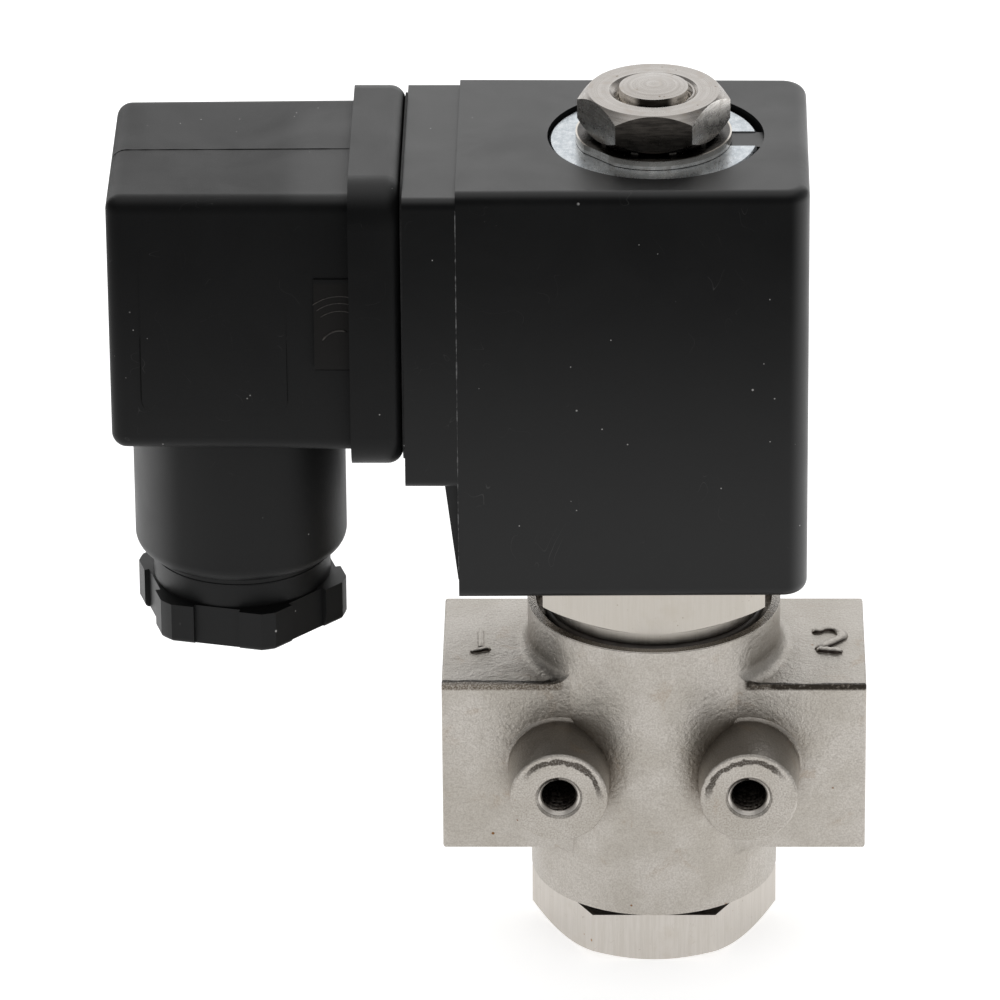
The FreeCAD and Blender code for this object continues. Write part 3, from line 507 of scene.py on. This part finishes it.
def paint_pad_ridge():
    """The embossed arcs, painted with a slight brown sheen."""
    p = Paint("pad_ridge")
    tone_mask = p.noise(2.5, detail=4.0)
    color = p.mix(p.ramp(tone_mask, 0.35, 0.65), (0.012, 0.010, 0.009, 1.0), (0.035, 0.030, 0.026, 1.0))
    return p.finish(color, p.ramp(tone_mask, 0.3, 0.7, 0.35, 0.5), specular=0.35,
                    normal=p.bump(tone_mask, 0.02))


def paint_seal_reflection():
    """The body seal, coloured brown-grey as a painted reflection of the metal round it, and a little
    shiny.
    """
    p = Paint("seal_painted_reflection")
    cloud = p.noise(0.7, detail=4.0)
    color = p.mix(p.ramp(cloud, 0.3, 0.7), (0.055, 0.046, 0.040, 1.0), (0.10, 0.088, 0.078, 1.0))
    return p.finish(color, p.ramp(cloud, 0.3, 0.7, 0.4, 0.55), specular=0.5,
                    normal=p.bump(p.noise(5.0), 0.015))


def paint_nylon():
    p = Paint("bobbin_plastic")
    flow = p.noise(0.3, detail=4.0)
    color = p.mix(p.ramp(flow, 0.3, 0.7), grey(0.52, 0.05), grey(0.66, 0.04))
    return p.finish(color, p.ramp(flow, 0.3, 0.7, 0.42, 0.55), normal=p.bump(flow, 0.02))


PAINTS = {
    "cast_stainless": paint_cast_stainless(),
    "machined_stainless": paint_machined_stainless(),
    "bright_stainless": paint_bright_stainless(),
    "zinc_steel": paint_zinc(),
    "spring_steel": paint_spring_steel(),
    "copper": paint_copper(),
    "brass": paint_milled("brass", (0.52, 0.36, 0.13, 1.0), (0.80, 0.61, 0.29, 1.0)),
    "tinned_blade": paint_milled("tinned_blade", grey(0.55, 0.01), grey(0.74, 0.01)),
    "seal_rubber": paint_rubber(),
    "coil_plastic": paint_black_plastic("coil_plastic", 0.38, 0.36, 0.28, 0.38, 2.0, 0.012),
    "connector_plastic": paint_black_plastic("connector_plastic", 0.38, 0.24, 0.20, 0.46, 31.0,
                                             0.020),
    "bobbin_plastic": paint_nylon(),
}
PAINT_SEAM = paint_seam_flash()
PAINT_LINE = paint_dark_line()
PAINT_BORE = paint_bore_thread()
PAINT_RIDGE = paint_pad_ridge()
PAINT_SEAL_REFLECTION = paint_seal_reflection()


def dress_nodes():
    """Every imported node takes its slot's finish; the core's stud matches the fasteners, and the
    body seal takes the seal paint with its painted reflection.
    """
    for entry in frame["record"]["subparts"]:
        finish = PAINTS[entry["material_slot"]]
        if entry["node"] == "fixed_core":
            finish = PAINTS["bright_stainless"]
        # The body seal is painted brown-grey as a reflection of the metal round it.
        if entry["node"] == "body_oring":
            finish = PAINT_SEAL_REFLECTION
        for slot in NODES[entry["node"]].material_slots:
            slot.material = finish


# ---- added pieces -------------------------------------------------------------------------

def add_piece(name, points, faces, paint, body):
    """A smooth mesh from points in millimetres that rides on a body."""
    mesh = bpy.data.meshes.new(name)
    mesh.from_pydata([Vector(point) * MM for point in points], [], faces)
    mesh.materials.append(paint)
    mesh.polygons.foreach_set("use_smooth", [True] * len(mesh.polygons))
    piece = bpy.data.objects.new(name, mesh)
    bpy.context.scene.collection.objects.link(piece)
    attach(piece, body)
    return piece


def skin_between_rows(rows, closed):
    """Four-sided faces between neighbouring rows of the same length."""
    count = len(rows[0])
    faces = []
    for row in range(len(rows) - 1):
        for side in range(count if closed else count - 1):
            start = row * count + side
            after = row * count + (side + 1) % count
            faces.append((start, after, after + count, start + count))
    return faces


def add_thread(name, mouth, outward, root, crest, pitch, turns, paint, body):
    """The crests of an inside thread: a helical ridge on a bore's wall, open at the mouth."""
    steps = 40
    outward = Vector(outward)
    across = Vector((0.0, 0.0, 1.0)) if abs(outward.z) < 0.5 else Vector((1.0, 0.0, 0.0))
    third = outward.cross(across)
    profile = ((root, -0.47), (crest, -0.10), (crest, 0.10), (root, 0.47))
    rows = []
    for step in range(steps * turns + 1):
        angle = 2 * math.pi * step / steps
        fade = min(1.0, step / steps * 2, (steps * turns - step) / steps * 2)
        around = across * math.cos(angle) + third * math.sin(angle)
        row = []
        for radius, shift in profile:
            reach = root + (radius - root) * fade
            along = pitch * (step / steps + shift + 0.6)
            row.append(Vector(mouth) - outward * along + around * reach)
        rows.append(row)
    points = [point for row in rows for point in row]
    return add_piece(name, points, skin_between_rows(rows, False), paint, body)


def add_bead(name, route, radius, paint, body, flatten=1.0, uneven=0.0, seed=1):
    """A rounded line of material along a route, its height scaled by flatten."""
    source = random.Random(seed)
    sides = 10
    rows = []
    last = len(route) - 1
    for number, place in enumerate(route):
        before, after = route[max(number - 1, 0)], route[min(number + 1, last)]
        along = (Vector(after) - Vector(before)).normalized()
        up = Vector((0.0, 0.0, 1.0)) if abs(along.z) < 0.9 else Vector((1.0, 0.0, 0.0))
        side = along.cross(up).normalized()
        lift = side.cross(along).normalized()
        reach = radius * (1.0 + source.uniform(-uneven, uneven))
        if number in (0, last):
            reach *= 0.55
        turns = [2 * math.pi * corner / sides for corner in range(sides)]
        rows.append([Vector(place) + (side * math.cos(turn) + lift * math.sin(turn) * flatten)
                     * reach for turn in turns])
    points = [point for row in rows for point in row]
    faces = skin_between_rows(rows, True)
    faces.append(tuple(range(sides - 1, -1, -1)))
    faces.append(tuple(range(last * sides, last * sides + sides)))
    return add_piece(name, points, faces, paint, body)


def add_turned(name, profile, centre, paint, body):
    """A surface turned about an upright axis from (radius, height) pairs."""
    steps = 96
    rows = []
    for step in range(steps + 1):
        turn = 2 * math.pi * step / steps
        rows.append([Vector((centre[0] + radius * math.cos(turn),
                             centre[1] + radius * math.sin(turn), height))
                     for radius, height in profile])
    points = [point for row in rows for point in row]
    return add_piece(name, points, skin_between_rows(rows, False), paint, body)


def between(start, end, count):
    """Evenly spaced points from start to end, both included."""
    return [Vector(start).lerp(Vector(end), step / (count - 1)) for step in range(count)]


def level_arc(centre, radius, first, last, count, level):
    """Points of a level arc about a centre, between two angles in degrees."""
    turns = [math.radians(first + (last - first) * step / (count - 1)) for step in range(count)]
    return [Vector((centre[0] + radius * math.cos(turn), centre[1] + radius * math.sin(turn),
                    level)) for turn in turns]


def add_port_threads():
    for name, mouth_x in (("port_1", BODY_LOW.x), ("port_2", BODY_HIGH.x)):
        mount = MOUNTS[name]
        add_thread(f"{name}_thread", (mouth_x, 0.0, PORT_HEIGHT), mount["axis"],
                   mount["dims"]["r_mm"], PORT_CREST, PORT_PITCH, 7,
                   PAINTS["machined_stainless"], "valve")


def add_mouth(name, mouth):
    """The worn first turn of an M4 thread: a narrow cone from the lead to the crests."""
    steps = 60
    rows = []
    for step in range(steps + 1):
        turn = 2 * math.pi * step / steps
        rows.append([Vector((mouth[0] + radius * math.cos(turn), mouth[1] + depth,
                             mouth[2] + radius * math.sin(turn)))
                     for radius, depth in ((2.12, 0.22), (1.86, 0.34), (1.70, 0.62))])
    points = [point for row in rows for point in row]
    return add_piece(name, points, skin_between_rows(rows, False),
                     PAINTS["machined_stainless"], "valve")


def add_mount_threads():
    mount = MOUNTS["mounting_holes"]
    for name, side in (("left", -1), ("right", 1)):
        mouth = (side * BOSS_OFFSET, BOSS_FACE, PORT_HEIGHT)
        add_mouth(f"mount_mouth_{name}", mouth)
        add_thread(f"mount_thread_{name}", mouth, mount["axis"], mount["dims"]["hole_r_mm"],
                   MOUNT_CREST, MOUNT_PITCH, 9, PAINT_BORE, "valve")


def add_stroke(name, route, radius):
    """One raised stroke of a cast numeral on the block's top."""
    add_bead(name, route, radius, PAINTS["cast_stainless"], "valve",
             flatten=0.62, uneven=0.09, seed=len(route))


def add_cast_numbers():
    """Raised port numbers on the block's top, 1 on the left and 2 on the right."""
    level = BLOCK_TOP - 0.02
    add_stroke("cast_1_stem", between((-17.0, -1.7, level), (-17.1, 2.5, level), 9), 0.33)
    add_stroke("cast_1_foot", between((-18.0, -2.45, level), (-16.1, -1.65, level), 7), 0.52)
    bow = level_arc((17.2, 1.15), 1.35, 165, -40, 12, level)
    add_stroke("cast_2_bow", bow + between(bow[-1], (16.0, -1.9, level), 7)[1:], 0.62)
    add_stroke("cast_2_foot", between((16.0, -1.95, level), (18.5, -2.45, level), 9), 0.66)


def add_coil_seam():
    """The pale flash where the terminal block was moulded on to the coil's cover."""
    x = TERMINAL_HIGH.x
    for name, side in (("front", -1), ("back", 1)):
        y = side * (TERMINAL_HIGH.y - 0.01)
        down = between((x, y, TERMINAL_LOW.z + 1.5), (x, y, TERMINAL_HIGH.z - 1.0), 90)
        add_bead(f"seam_flash_{name}", down, 0.045, PAINT_SEAM, "coil",
                 uneven=0.6, seed=31)


def add_connector_line():
    """The mould's parting line over the connector's top and on to its end."""
    left, edge = PLUG_LOW.x, CONNECTOR_EDGE
    y = -0.4
    route = between((FLANGE_LEFT, y, CONNECTOR_TOP), (left + edge, y, CONNECTOR_TOP_LEFT), 24)
    for step in range(1, 5):
        turn = math.radians(15 * step)
        route.append(Vector((left + edge - edge * math.sin(turn), y,
                             CONNECTOR_TOP_LEFT - edge + edge * math.cos(turn))))
    add_bead("parting_line", route, 0.05, PAINT_LINE, "connector",
             uneven=0.3, seed=41)


def add_pad_arcs():
    """Embossed arcs on the sloping pad beside the flange."""
    for number, (crest, radius, thick) in enumerate(((73.3, 4.2, 0.05), (72.6, 3.6, 0.05),
                                                     (71.8, 3.0, 0.05), (69.8, 1.9, 0.09))):
        centre_x, reach = -29.9, 38.0 if number < 3 else 62.0
        route = []
        for step in range(15):
            turn = math.radians(-reach + (reach + 20.0) * step / 14)
            z = crest - radius + radius * math.cos(turn)
            slope = (z - PAD_BOTTOM) / (PAD_TOP - PAD_BOTTOM)
            y = CONNECTOR_FRONT - PAD_PROUD + (PAD_PROUD - PAD_START) * slope
            route.append(Vector((centre_x + radius * math.sin(turn), y, z)))
        add_bead(f"pad_arc_{number + 1}", route, thick, PAINT_RIDGE, "connector")


def add_panel_shadow():
    """A dark bead as painted shadow under the raised panel's foot and round its lower corners."""
    corner, rise, y = PANEL_CORNER, PANEL_SHADOW_RISE, CONNECTOR_FRONT - 0.02
    left, right, bottom = PANEL_LEFT, PANEL_RIGHT, PANEL_BOTTOM
    route = between((left, y, bottom + rise), (left, y, bottom + corner), 10)
    for step in range(1, 7):
        turn = math.radians(15 * step)
        route.append(Vector((left + corner - corner * math.cos(turn), y,
                             bottom + corner - corner * math.sin(turn))))
    route += between(route[-1], (right - corner, y, bottom), 16)[1:]
    for step in range(1, 7):
        turn = math.radians(15 * step)
        route.append(Vector((right - corner + corner * math.sin(turn), y,
                             bottom + corner - corner * math.cos(turn))))
    route += between(route[-1], (right, y, bottom + rise), 10)[1:]
    add_bead("panel_shadow_line", route, 0.14, PAINT_LINE, "connector")


def add_nut_thread():
    """The nut's countersink and the start of its thread, round the stud's plain tip."""
    top = NUT_HIGH.z
    profile = ((4.22, top - 0.03), (3.95, top - 0.28), (3.48, top - 0.62), (3.42, top - 1.3))
    add_turned("nut_countersink", profile, (0.0, 0.0), PAINTS["bright_stainless"], "valve")
    start = level_arc((0.0, 0.0), 3.86, -38, 55, 16, top - 0.22)
    add_bead("nut_thread_start", start, 0.13, PAINTS["bright_stainless"], "valve")


def add_spring():
    """The plunger's spring as a helix at rest, riding on the plunger with a mesh of its own; it is
    not shortened here as the plunger lifts.
    """
    low, high = corners_mm("plunger_spring")
    radius = (high.x - low.x) / 2 - SPRING_WIRE
    start, end = low.z + SPRING_WIRE, high.z - SPRING_WIRE
    steps = round(24 * SPRING_TURNS)
    route = []
    for step in range(steps + 1):
        turn = 2 * math.pi * SPRING_TURNS * step / steps
        height = start + (end - start) * step / steps
        route.append(Vector((radius * math.cos(turn), radius * math.sin(turn), height)))
    spring = add_bead("lift_spring", route, SPRING_WIRE, PAINTS["spring_steel"], "plunger")
    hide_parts("plunger_spring")
    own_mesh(spring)


def add_gland_ring_line():
    """The raised ring at the top of the gland nut's neck."""
    route = level_arc((GLAND_X, 0.0), NECK_RING_RADIUS, 0, 360, 97, NECK_RING_HEIGHT)
    add_bead("gland_neck_ring", route, 0.10, PAINTS["connector_plastic"], "gland_nut")


add_camera()
add_studio()
dress_nodes()
add_port_threads()
add_mount_threads()
add_cast_numbers()
add_coil_seam()
add_connector_line()
add_pad_arcs()
add_panel_shadow()
add_nut_thread()
add_gland_ring_line()
add_spring()
